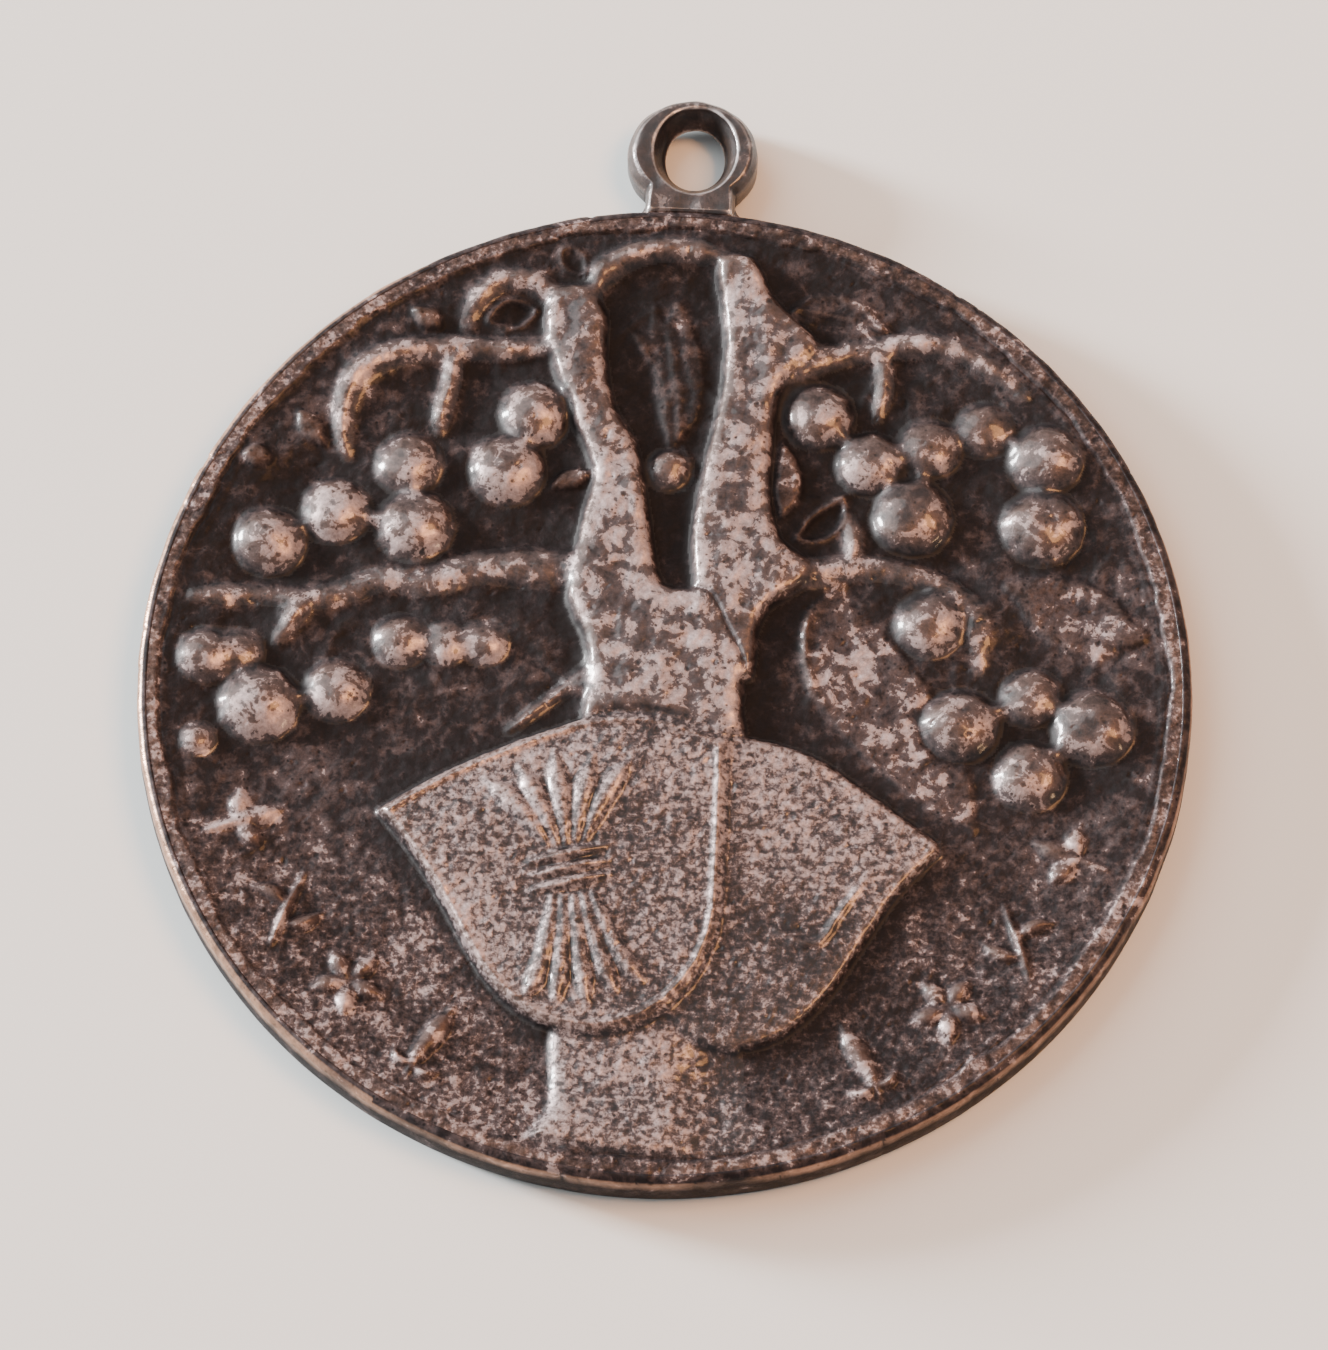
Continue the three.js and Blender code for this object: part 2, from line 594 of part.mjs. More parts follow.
const motifs = {
  lance_leaf: () => [
    [[0, -1.35, 0.25], [0.05, -0.5, 0.55], [0, 0.4, 0.75], [0, 1.4, 0.2]],
    [[0, -0.9, 0.25], [-0.45, -1, 0.3], [-0.8, -0.7, 0.2]],
    [[0, -0.9, 0.25], [0.45, -1, 0.3], [0.8, -0.7, 0.2]],
  ],
  rosette: () => petals.map((angle) => [
    [0, 0, 0.4],
    [0.6 * Math.sin(angle), 0.6 * Math.cos(angle), 0.62],
    [1.15 * Math.sin(angle), 1.15 * Math.cos(angle), 0.35],
  ]),
  sprig: () => [
    [[-0.9, -1.1, 0.25], [-0.2, -0.2, 0.3], [0.7, 1.1, 0.25]],
    [[-0.4, -0.5, 0.25], [-0.75, 0.15, 0.5], [-0.7, 0.9, 0.2]],
    [[-0.1, 0, 0.25], [0.6, -0.1, 0.5], [1.1, -0.6, 0.2]],
  ],
  trefoil: () => [
    [[0, -1.3, 0.25], [0, -0.5, 0.3], [0, 0.5, 0.8], [0, 1.25, 0.3]],
    [[0, -0.3, 0.3], [-0.55, 0.05, 0.7], [-1.05, 0.2, 0.3]],
    [[0, -0.3, 0.3], [0.55, 0.05, 0.7], [1.05, 0.2, 0.3]],
  ],
};

for (const [sideName, side] of [['left', -1], ['right', 1]]) {
  Object.entries(motifs).forEach(([motif, strokes], place) => {
    const toMedal = ornamentFrame(side, place);
    const parts = strokes().map((points) => (
      stroke(points.map(toMedal), ORNAMENT_RELIEF, { steps: points.length * 2 })
    ));
    strike(`${motif}_${sideName}`, joined(...parts));
  });
}

export default medal;
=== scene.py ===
"""The visual model of a struck bronze medal with a soldered hanging eyelet.

The CAD nodes give the place, outline and height of every raised feature. Their tops are drawn into one
height map, which is softened as a struck surface is, given its fine detail, and cut up again into one closed
piece per node. Lengths are in millimetres until a mesh is made."""

import json
import math

import bpy
import numpy as np
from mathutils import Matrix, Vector
from mathutils.geometry import delaunay_2d_cdt


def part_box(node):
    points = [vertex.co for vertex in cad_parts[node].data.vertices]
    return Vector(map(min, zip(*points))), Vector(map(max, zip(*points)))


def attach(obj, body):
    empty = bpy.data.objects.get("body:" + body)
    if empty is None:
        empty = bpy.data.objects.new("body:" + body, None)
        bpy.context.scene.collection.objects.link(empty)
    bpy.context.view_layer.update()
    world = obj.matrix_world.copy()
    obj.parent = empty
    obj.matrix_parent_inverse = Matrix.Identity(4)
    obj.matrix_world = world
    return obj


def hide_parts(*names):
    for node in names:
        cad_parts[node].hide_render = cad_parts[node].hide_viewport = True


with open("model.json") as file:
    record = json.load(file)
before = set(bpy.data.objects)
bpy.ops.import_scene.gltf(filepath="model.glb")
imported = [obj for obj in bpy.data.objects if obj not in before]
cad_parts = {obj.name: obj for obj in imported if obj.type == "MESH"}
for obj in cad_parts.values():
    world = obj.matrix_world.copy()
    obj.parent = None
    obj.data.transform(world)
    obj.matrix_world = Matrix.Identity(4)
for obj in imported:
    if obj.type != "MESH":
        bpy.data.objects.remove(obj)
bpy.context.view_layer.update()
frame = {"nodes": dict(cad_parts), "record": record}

MM = 0.001

# The height map: a square grid over the disc.
PITCH = 0.04
SIDE = 840
AXIS = (np.arange(SIDE) - (SIDE - 1) / 2) * PITCH
GRID_X, GRID_Y = np.meshgrid(AXIS, AXIS)
GRID_R = np.hypot(GRID_X, GRID_Y)

# The disc's surface mesh: a square of cells bent into a circle.
CELLS = 512
COARSE_CELLS = CELLS // 8

BLANK = "medal_disc"
EYELET = "hanging_eyelet"
SOLDER = "eyelet_solder"
MEDAL_RADIUS, _, RIM_HEIGHT = np.array(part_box(BLANK)[1]) / MM
CORE_HEIGHT = 0.9

# The edge: its rounding at the face and at the back, and how far the side between them swells, by height.
EDGE_ROUND, ROUND_STEPS = 0.3, 7
BACK_ROUND, BACK_STEPS = 0.28, 5
EDGE_SWELL = ((0.02, 1.0), (0.03, 0.7), (0.01, 0.4))
FACE_RADIUS = MEDAL_RADIUS - EDGE_ROUND

RELIEF_NODES = sorted(set(frame["nodes"]) - {BLANK, EYELET, SOLDER})
ORNAMENT_NODES = [n for n in RELIEF_NODES if n.startswith(("lance_leaf", "rosette", "sprig", "trefoil"))]
SHEAF_NODES = [n for n in RELIEF_NODES if n.startswith("sheaf")]
SHARP_NODES = ORNAMENT_NODES + SHEAF_NODES + ["shield_front_border", "shield_rear_rib"]
SHIELD_NODES = ["shield_front", "shield_rear"]
TRUNK_NODES = ["left_trunk", "right_trunk"]
FRUIT_NODES = [n for n in RELIEF_NODES if n.startswith("fruit")]
BRANCH_NODES = [n for n in RELIEF_NODES if n.endswith("branch")] + ["crown_arch", "crown_loop"]
WOOD_NODES = TRUNK_NODES + BRANCH_NODES
LEAF_NODES = [n for n in RELIEF_NODES if n.startswith(("leaf", "bud"))]
SLOTS = {part["node"]: part["material_slot"] for part in frame["record"]["subparts"]}


# ---------------------------------------------------------------- fields on the height map


def blur(field, radius, stretch=1.0):
    """The field softened by a Gaussian of this radius in millimetres, and wider along Y by the stretch."""
    rows = np.fft.fftfreq(SIDE, PITCH)[:, None] * stretch
    columns = np.fft.rfftfreq(SIDE, PITCH)[None, :]
    keep = np.exp(-2 * (math.pi * radius) ** 2 * (rows**2 + columns**2))
    return np.fft.irfft2(np.fft.rfft2(field) * keep, s=field.shape)


def noise(size, seed, stretch=1.0):
    """Smooth random waves of about this size, longer along Y by the stretch: mean 0, deviation 1."""
    waves = blur(np.random.default_rng(seed).standard_normal((SIDE, SIDE)), size / 3, stretch)
    return (waves - waves.mean()) / waves.std()


def step(low, high, field):
    """0 below low, 1 above high, and smooth between."""
    t = np.clip((field - low) / (high - low), 0, 1)
    return t * t * (3 - 2 * t)


def bump(centre, width, field):
    """1 where the field is at centre, and falling to 0 over about this width."""
    return np.exp(-(((field - centre) / width) ** 2))


def spread(field, reach, pick):
    """The largest or smallest value within a square of this reach in cells."""
    for axis in (0, 1):
        shifted = [np.roll(field, k, axis) for k in range(-reach, reach + 1)]
        field = pick.reduce(shifted)
    return field


def sample(field, x, y):
    """The field's value at points, read between the grid's own."""
    column = np.clip((x - AXIS[0]) / PITCH, 0, SIDE - 1.001)
    row = np.clip((y - AXIS[0]) / PITCH, 0, SIDE - 1.001)
    i, j = column.astype(int), row.astype(int)
    u, v = column - i, row - j
    lower = field[j, i] * (1 - u) + field[j, i + 1] * u
    upper = field[j + 1, i] * (1 - u) + field[j + 1, i + 1] * u
    return lower * (1 - v) + upper * v


# ---------------------------------------------------------------- the CAD relief


def node_triangles(name):
    """The node's triangles, in millimetres."""
    mesh = frame["nodes"][name].data
    mesh.calc_loop_triangles()
    corners = np.empty(len(mesh.loop_triangles) * 3, np.int32)
    mesh.loop_triangles.foreach_get("vertices", corners)
    points = np.empty(len(mesh.vertices) * 3, np.float32)
    mesh.vertices.foreach_get("co", points)
    return points.reshape(-1, 3)[corners].reshape(-1, 3, 3).astype(float) / MM


def node_top(name):
    """The height of the node's upper surface over each grid point, and 0 where the node isn't."""
    top = np.zeros((SIDE, SIDE))
    for a, b, c in node_triangles(name):
        area = (b[0] - a[0]) * (c[1] - a[1]) - (b[1] - a[1]) * (c[0] - a[0])
        if area < 1e-7:
            continue
        low = np.minimum(np.minimum(a, b), c)[:2]
        high = np.maximum(np.maximum(a, b), c)[:2]
        i0, j0 = np.ceil((low - AXIS[0]) / PITCH - 1e-6).astype(int)
        i1, j1 = np.floor((high - AXIS[0]) / PITCH + 1e-6).astype(int) + 1
        if i1 <= i0 or j1 <= j0:
            continue
        x, y = GRID_X[j0:j1, i0:i1], GRID_Y[j0:j1, i0:i1]
        to_b = ((x - a[0]) * (c[1] - a[1]) - (y - a[1]) * (c[0] - a[0])) / area
        to_c = ((b[0] - a[0]) * (y - a[1]) - (b[1] - a[1]) * (x - a[0])) / area
        inside = (to_b > -1e-4) & (to_c > -1e-4) & (to_b + to_c < 1.0001)
        z = np.where(inside, a[2] + to_b * (b[2] - a[2]) + to_c * (c[2] - a[2]), 0)
        top[j0:j1, i0:i1] = np.maximum(top[j0:j1, i0:i1], z)
    return top


tops = {name: node_top(name) for name in RELIEF_NODES}
blank_top = node_top(BLANK)
FIELD_HEIGHT = float(np.median(blank_top[GRID_R < MEDAL_RADIUS / 2]))


def highest(names):
    """The height of the named nodes together, over the field."""
    return np.maximum.reduce([tops[n] for n in names] + [np.full((SIDE, SIDE), FIELD_HEIGHT)])


def share(names, radius):
    """How much each point belongs to the named nodes, softened."""
    covered = spread((highest(names) > FIELD_HEIGHT).astype(float), 2, np.maximum)
    return blur(covered, radius)


def closed(field, reach):
    """The field with gaps narrower than twice this reach filled, as in a corner where two branches meet."""
    return spread(spread(field, reach, np.maximum), reach, np.minimum)


def struck_relief():
    """The raised features over the flat field, joined where they meet and softened as the die leaves them."""
    soft = [n for n in RELIEF_NODES if n not in SHARP_NODES + LEAF_NODES]
    wood = np.maximum(highest(WOOD_NODES), spread(highest(BRANCH_NODES), 2, np.maximum))
    wood = closed(blur(closed(wood, 8), 0.1), 6) - FIELD_HEIGHT
    joined = np.maximum(closed(highest(soft), 2) - FIELD_HEIGHT, wood)
    base = (tops["trunk_base"] > FIELD_HEIGHT) & (highest(SHIELD_NODES) <= FIELD_HEIGHT)
    joined *= 1 - base * step(0.4, 2.3, GRID_X)
    relief = np.maximum(joined, highest(SHARP_NODES) - FIELD_HEIGHT)
    fine = share(SHARP_NODES + SHIELD_NODES, 0.08)
    full = share(FRUIT_NODES, 0.1) * (1 - fine)
    middle = 1 - fine - full
    rounded = 0.8 * blur(relief, 0.09) + 0.2 * blur(relief, 0.42)
    trunks = share(TRUNK_NODES, 0.12) * middle
    rounded += trunks * (0.92 * blur(relief, 0.06) + 0.08 * blur(relief, 0.42) - rounded)
    struck = blur(relief, 0.055) * fine + blur(relief, 0.12) * full + rounded * middle
    crease = bump(0.5, 0.28, share(["left_trunk"], 0.09)) * step(0.3, 0.6, share(["right_trunk"], 0.25))
    return struck + 0.14 * np.maximum(blur(relief, 0.8) - 0.4 * relief, 0) - 0.09 * crease


STREAK_SPACING = 0.5

# How each leaf is modelled, in millimetres: its dome, hollow, raised rim, midrib and long streaks. A side of
# 1 keeps the rim to the upper left.
PLAIN_LEAF = {"dome": 0.12, "hollow": 0.0, "rim": 0.03, "rib": 0.04, "streaks": 0.0, "side": 0}
LEAF_STYLES = {
    "leaf_in_loop": {"dome": 0.0, "hollow": -0.12, "rim": 0.10, "rib": 0.0},
    "leaf_right_top": {"dome": 0.08, "hollow": -0.10, "rim": 0.02, "rib": 0.10},
    "leaf_right_trunk": {"dome": 0.18, "rim": 0.02, "rib": 0.0},
    "leaf_right_spur": {"dome": 0.0, "hollow": -0.12, "rim": 0.10, "rib": 0.0},
    "leaf_right_veined": {"dome": 0.03, "rim": 0.20, "rib": 0.0, "side": 1},
    "leaf_right_low": {"dome": 0.10, "rim": 0.0, "rib": 0.02},
    "leaf_in_fork": {"dome": 0.08, "hollow": -0.02, "rim": 0.0, "rib": 0.04, "streaks": 0.012},
    "leaf_at_crown": {"dome": 0.0, "hollow": -0.10, "rim": 0.08, "rib": 0.0},
}


def modelled_leaves():
    """The leaves' own height over the field."""
    total = np.zeros((SIDE, SIDE))
    for index, name in enumerate(LEAF_NODES):
        style = {**PLAIN_LEAF, **LEAF_STYLES.get(name, {})}
        covered = (tops[name] > FIELD_HEIGHT).astype(float)
        points = np.stack([GRID_X[covered > 0], GRID_Y[covered > 0]])
        centre = points.mean(1)
        spreads, axes = np.linalg.eigh(np.cov(points))
        length, width = 2 * math.sqrt(spreads[1]), 2 * math.sqrt(spreads[0])
        upward = axes[:, 1] * (1 if axes[1, 1] > 0 else -1)
        rightward = axes[:, 0] * (1 if axes[0, 0] > 0 else -1)
        along = (GRID_X - centre[0]) * upward[0] + (GRID_Y - centre[1]) * upward[1]
        across = (GRID_X - centre[0]) * rightward[0] + (GRID_Y - centre[1]) * rightward[1]
        across = across + 0.06 * length * (along / length) ** 2
        inner = blur(covered, 0.28 * width)
        shape = style["dome"] * step(0.15, 0.95, inner) + style["hollow"] * step(0.45, 0.9, inner)
        shape += 0.05 * covered
        rim = style["rim"] * bump(0.5, 0.3, blur(covered, 0.14))
        if style["side"]:
            rim *= step(0.1, -0.3, across) * step(0, 0.5 * length, along)
        shape += rim + style["rib"] * bump(0, 0.1 * width + 0.03, across) * covered
        waver = 0.8 * noise(1.5, 60 + index)
        shape += style["streaks"] * covered * np.sin(across * 2 * math.pi / STREAK_SPACING + waver)
        total += blur(shape, 0.06)
    return total


def dished_field():
    """The field and rim without the relief: a slow rise, then a step and a groove where the die ended."""
    die_end = GRID_R - (15.22 + 0.05 * noise(1.6, 3) + 0.03 * noise(0.5, 4))
    rise = RIM_HEIGHT - FIELD_HEIGHT
    dished = FIELD_HEIGHT + 0.7 * rise * step(12.6, 15.2, GRID_R) + 0.3 * rise * step(-0.15, 0.1, die_end)
    flash = 0.6 + 0.4 * np.tanh(noise(4, 5) + 0.5)
    return dished + flash * (0.03 * bump(-0.16, 0.1, die_end) - 0.07 * bump(0.02, 0.05, die_end))


def dents():
    """Small pits and knocks from use, and the slow waves of a hand-finished die."""
    surface = 0.012 * noise(3.2, 11) + 0.005 * noise(0.9, 12) + 0.0022 * noise(0.28, 13)
    pits = noise(0.22, 14)
    return surface - 0.03 * step(2.1, 3.2, pits)


# How much each point belongs to the fruit, the wood, the plain surfaces, the rim and the field's lower part.
fruit_share = share(FRUIT_NODES, 0.08)
wood_share = share(WOOD_NODES, 0.15)
plain_share = share(SHIELD_NODES + ["trunk_base"], 0.06)
rim_share = step(15.15, 15.4, GRID_R)
lower_share = step(-2, -9, GRID_Y)

# The finished height map: uneven fruit, grain along the wood, a hand-worked field among the branches.
relief = struck_relief() + modelled_leaves()
height = dished_field() + relief + dents()
height += fruit_share * (0.026 * noise(1.1, 21) + 0.004 * noise(0.4, 22))
height += wood_share * (0.014 * noise(0.7, 23, 3.0) + 0.004 * noise(0.35, 24, 2.0))
crown = (1 - plain_share) * step(-2.5, 0.5, GRID_Y) * step(14.6, 13.6, GRID_R) * step(0.3, 0.05, relief)
height += crown * (0.036 * noise(1.8, 25) + 0.010 * noise(0.8, 26) + 0.035 * bump(0, 0.3, noise(2.6, 27)))
height += (1 - 0.5 * fruit_share) * (0.005 * noise(0.3, 28) + 0.003 * noise(0.18, 29))
slope_y, slope_x = np.gradient(height, PITCH)


def levels():
    """How worn the bronze is as a whole: least in the field, most on the trunk base, shields and trunks; on
    the rim's left the level is raised as a painted highlight.
    """
    level = 0.25 + 0.08 * step(5, 10, GRID_X) + lower_share * (0.06 + 0.20 * step(3, -6, GRID_X))
    front_shield = 0.63 - 0.05 * step(-5, 0, GRID_X) - 0.10 * step(-4, 2, GRID_X) * step(-4, -8, GRID_Y)
    rear_shield = 0.575 - 0.16 * step(-6.2, -7.8, GRID_Y + 0.33 * (GRID_X - 5))
    parts = (
        (["leaf_right_veined", "leaf_right_low"], 0.3, 0.50),
        ([n for n in LEAF_NODES if "right_veined" not in n], 0.15, 0.32),
        (BRANCH_NODES, 0.2, 0.51),
        (FRUIT_NODES, 0.08, 0.45 + 0.08 * step(2, -3, GRID_X) + 0.03 * step(3, -2, GRID_Y)),
        ([n for n in ORNAMENT_NODES if not n.startswith("sprig")], 0.1, 0.54),
        (TRUNK_NODES, 0.3, 0.60 - 0.06 * step(6, 11, GRID_Y)),
        (["trunk_base"], 0.15, 0.655 - 0.24 * step(0, 2.4, GRID_X)),
        (["shield_front"], 0.06, front_shield),
        (["shield_rear"], 0.06, rear_shield),
    )
    for names, soft, worn_level in parts:
        amount = share(names, soft)
        level = np.maximum(level, level + (worn_level - level) * amount)
    # The rim is lighter on the left, a painted highlight where the left window glints, and lighter towards
    # the lower right.
    lower_right = (GRID_X - GRID_Y) / (MEDAL_RADIUS * math.sqrt(2))
    rim_level = 0.38 + 0.10 * step(-2, -10, GRID_X) + 0.08 * step(0.2, 0.8, lower_right)
    return level + (rim_level - level) * rim_share


# How worn each point is, from 0 in the deepest hollows to 1 on metal worn clean of patina, partly painted
# light and shade; and where an edge shines as uncovered metal.
enclosed = blur(relief, 0.9) - relief
corner = blur(relief, 0.22) - relief
crest = height - blur(height, 0.3)
# Hollows and corners are darker: patina gathered there, and painted shade.
worn = levels() - 0.22 * step(0.03, 0.20, enclosed) - 0.22 * step(0.03, 0.10, corner)
worn += 1.1 * np.clip(crest, -0.10, 0.07) + 0.02 * noise(2.5, 41)
# Painted light and shade: on the fruit and wood, slopes facing down and right are lighter and slopes facing
# up and left darker.
worn += (0.11 * fruit_share + 0.05 * wood_share) * np.tanh(1.4 * (slope_y - slope_x))
worn = np.clip(worn, 0, 1)
edge = np.clip(crest / 0.1, 0, 1) * (0.08 + 0.4 * step(15.4, 15.6, GRID_R))

# How finely the patina is flecked: most on the plain surfaces, and partly on the rim and the lower field.
fine = np.maximum(plain_share, 0.7 * np.maximum(rim_share, lower_share * step(0.2, 0.05, relief)))


# ---------------------------------------------------------------- which node each part of the face belongs to


def face_grid():
    """The x and y of the face mesh's grid points: a square bent into a disc without a seam."""
    line = np.linspace(-1, 1, CELLS + 1)
    a, b = np.meshgrid(line, line)
    wide = np.abs(a) >= np.abs(b)
    reach = np.where(wide, a, b)
    ratio = np.where(wide, b, a) / np.where(reach == 0, 1, reach)
    turn = np.where(wide, ratio, 2 - ratio) * math.pi / 4
    return FACE_RADIUS * reach * np.cos(turn), FACE_RADIUS * reach * np.sin(turn)


FACE_X, FACE_Y = face_grid()


def grid_labels():
    """For each height map point, 1 more than the index of the node that shows there, or 0 for the field."""
    layers = np.stack([tops[n] for n in RELIEF_NODES])
    found = np.where(layers.max(0) > FIELD_HEIGHT, layers.argmax(0) + 1, 0)
    for _ in range(3):
        for shift, axis in ((1, 0), (-1, 0), (1, 1), (-1, 1)):
            found = np.where(found == 0, np.roll(found, shift, axis), found)
    return found


def untangled(labels):
    """The labels changed where two cells of one node would touch only at a corner."""
    for _ in range(20):
        a, b = labels[:-1, :-1], labels[:-1, 1:]
        c, d = labels[1:, :-1], labels[1:, 1:]
        falling = (a == d) & (a != b) & (a != c)
        rising = (b == c) & (b != a) & (b != d)
        if not (falling | rising).any():
            break
        labels[:-1, 1:] = np.where(falling, a, labels[:-1, 1:])
        labels[:-1, :-1] = np.where(rising & ~falling, labels[:-1, 1:], labels[:-1, :-1])
    return labels


def cell_labels():
    """The node that each cell of the face mesh belongs to; the field is numbered by quarter, below 0."""
    x = (FACE_X[:-1, :-1] + FACE_X[1:, 1:]) / 2
    y = (FACE_Y[:-1, :-1] + FACE_Y[1:, 1:]) / 2
    column = np.rint((x - AXIS[0]) / PITCH).astype(int)
    row = np.rint((y - AXIS[0]) / PITCH).astype(int)
    labels = grid_labels()[row, column]
    quarter = -1 - (x > 0) - 2 * (y > 0)
    return untangled(np.where(labels == 0, quarter, labels))


# ---------------------------------------------------------------- making the meshes


def set_values(mesh, key, values):
    """Stores one number per point, for the material to read."""
    mesh.attributes.new(key, "FLOAT", "POINT").data.foreach_set("value", np.asarray(values, np.float32))


def make_mesh(name, points, faces, normals=None, values=None):
    """An object from points in millimetres and faces, with a normal per face corner and values per point."""
    mesh = bpy.data.meshes.new(name)
    mesh.from_pydata((np.asarray(points) * MM).tolist(), [], faces)
    for key, value in (values or {}).items():
        set_values(mesh, key, value)
    mesh.shade_smooth()
    if normals is not None:
        mesh.normals_split_custom_set(normals)
    made = bpy.data.objects.new(name, mesh)
    bpy.context.scene.collection.objects.link(made)
    return made


def add_piece(made, node):
    """Gives a finished piece its body and the material of its CAD node's slot, and hides that CAD node."""
    slot = SLOTS[node]
    made.data.materials.append(materials[slot])
    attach(made, "root")
    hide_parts(node)
    return made


def fill_outline(points, edges):
    """Triangles that fill closed outlines, with their holes left open."""
    found = delaunay_2d_cdt([Vector(p) for p in points], edges, [], 0, 1e-7)
    original = [ids[0] for ids in found[3]]
    triangles = [[original[k] for k in face] for face in found[2]]
    walls = {frozenset(e) for e in edges}
    beside = {}
    for index, triangle in enumerate(triangles):
        for k in range(3):
            beside.setdefault(frozenset((triangle[k], triangle[k - 1])), []).append(index)
    inside = {}
    queue = []
    for pair, owners in beside.items():
        if len(owners) == 1 and owners[0] not in inside:
            inside[owners[0]] = pair in walls
            queue.append(owners[0])
    while queue:
        index = queue.pop()
        triangle = triangles[index]
        for k in range(3):
            pair = frozenset((triangle[k], triangle[k - 1]))
            for other in beside[pair]:
                if other not in inside:
                    inside[other] = inside[index] ^ (pair in walls)
                    queue.append(other)
    return [triangle for index, triangle in enumerate(triangles) if inside[index]]


def face_normals(x, y):
    """The surface's own normals at points of the face."""
    normals = np.stack([-sample(slope_x, x, y), -sample(slope_y, x, y), np.ones_like(x)], -1)
    return normals / np.linalg.norm(normals, axis=-1, keepdims=True)


def face_piece(name, cells):
    """A closed block of the face: its cells above, walls round them, and a flat underside."""
    rows, columns = np.nonzero(cells)
    width = CELLS + 1
    corner = rows * width + columns
    quads = np.stack([corner, corner + 1, corner + width + 1, corner + width], 1)
    around = np.pad(cells, 1)
    sides = [around[rows, columns + 1], around[rows + 1, columns + 2],
             around[rows + 2, columns + 1], around[rows + 1, columns]]
    starts = np.concatenate([quads[~side, k] for k, side in enumerate(sides)])
    ends = np.concatenate([quads[~side, (k + 1) % 4] for k, side in enumerate(sides)])

    used, tops_of = np.unique(quads, return_inverse=True)
    tops_of = tops_of.reshape(-1, 4)
    x, y = FACE_X.ravel()[used], FACE_Y.ravel()[used]
    outer, place = np.unique(starts, return_inverse=True)
    below = {int(v): k for k, v in enumerate(outer)}
    start_top, end_top = np.searchsorted(used, starts), np.searchsorted(used, ends)
    start_low = place + len(used)
    end_low = np.array([below[int(v)] for v in ends]) + len(used)

    outer_x, outer_y = FACE_X.ravel()[outer], FACE_Y.ravel()[outer]
    upper = np.stack([x, y, sample(height, x, y)], 1)
    lower = np.stack([outer_x, outer_y, np.full(len(outer), CORE_HEIGHT)], 1)
    walls = np.stack([end_top, start_top, start_low, end_low], 1)
    outline = list(zip((start_low - len(used)).tolist(), (end_low - len(used)).tolist()))
    floor = fill_outline(list(zip(outer_x.tolist(), outer_y.tolist())), outline)
    points = np.concatenate([upper, lower])
    underside = [[v + len(used) for v in downward(t, outer_x, outer_y)] for t in floor]

    smooth = face_normals(x, y)
    along = points[end_top] - points[start_top]
    outward = np.stack([along[:, 1], -along[:, 0], np.zeros(len(along))], 1)
    outward /= np.linalg.norm(outward, axis=1, keepdims=True)
    down = np.tile((0, 0, -1), (3 * len(floor), 1))
    normals = np.concatenate([smooth[tops_of].reshape(-1, 3), np.repeat(outward, 4, axis=0), down])
    fields = {"worn": worn, "edge": edge, "fine": fine}
    values = {key: sample(field, points[:, 0], points[:, 1]) for key, field in fields.items()}
    return make_mesh(name, points, tops_of.tolist() + walls.tolist() + underside, normals, values)


def downward(triangle, x, y):
    """The triangle's corners in the order that makes it face down."""
    a, b, c = triangle
    area = (x[b] - x[a]) * (y[c] - y[a]) - (y[b] - y[a]) * (x[c] - x[a])
    return (a, c, b) if area > 0 else (a, b, c)


def edge_piece():
    """The blank's rounded edge, its back and the core under the face, as one closed body."""
    count = 4 * CELLS
    angle = -math.pi / 4 + np.arange(count) * 2 * math.pi / count
    ring_x, ring_y = np.cos(angle), np.sin(angle)
    rim_top = sample(height, FACE_RADIUS * ring_x, FACE_RADIUS * ring_y)
    knock = sample(noise(0.9, 31), 15.9 * ring_x, 15.9 * ring_y)
    nick = 0.012 * knock - 0.05 * step(1.9, 3.0, sample(noise(0.35, 32), 15.8 * ring_x, 15.8 * ring_y))

    def ring(out, z):
        return np.stack([out * ring_x, out * ring_y, z], 1)

    rows = [ring(FACE_RADIUS, np.full(count, CORE_HEIGHT))]
    for part in np.arange(ROUND_STEPS + 1) / ROUND_STEPS:
        turn = math.pi / 2 * part
        out = FACE_RADIUS + EDGE_ROUND * math.sin(turn) + part * nick
        rows.append(ring(out, rim_top - EDGE_ROUND * (1 - math.cos(turn)) + part * 0.3 * nick))
    for swell, z in EDGE_SWELL:
        rows.append(ring(MEDAL_RADIUS + swell + 0.6 * nick, np.full(count, z)))
    for part in np.arange(1, BACK_STEPS + 1) / BACK_STEPS:
        turn = math.pi / 2 * part
        out = MEDAL_RADIUS - BACK_ROUND * (1 - math.cos(turn)) + 0.3 * nick * (1 - part)
        rows.append(ring(out, np.full(count, BACK_ROUND * (1 - math.sin(turn)))))

    here = np.arange(count)
    there = (here + 1) % count
    points, faces = np.concatenate(rows), []
    for a in range(0, count * (len(rows) - 1), count):
        faces += np.stack([a + here, a + count + here, a + count + there, a + there], 1).tolist()
    points, faces = closed_disc(points, faces, 0, CORE_HEIGHT, up=True)
    points, faces = closed_disc(points, faces, (len(rows) - 1) * count, 0.0, up=False)
    x, z, reach = points[:, 0], points[:, 2], np.hypot(points[:, 0], points[:, 1])
    # The rim's outer rounding shows uncovered metal, wider and stronger on the left as a painted highlight.
    uncovered_and_highlit = (z > 1.3) & (reach > np.where(x < -8, 15.85, 15.95))
    rim_metal_and_highlight = 0.45 + 0.45 * step(-8, -13, x) + 0.15 * knock[np.arange(len(points)) % count]
    values = {"worn": np.where(z > 1.2, 0.38, 0.26), "edge": np.where(uncovered_and_highlit, rim_metal_and_highlight, 0.0)}
    return make_mesh("medal_edge_and_back", points, faces, None, values)


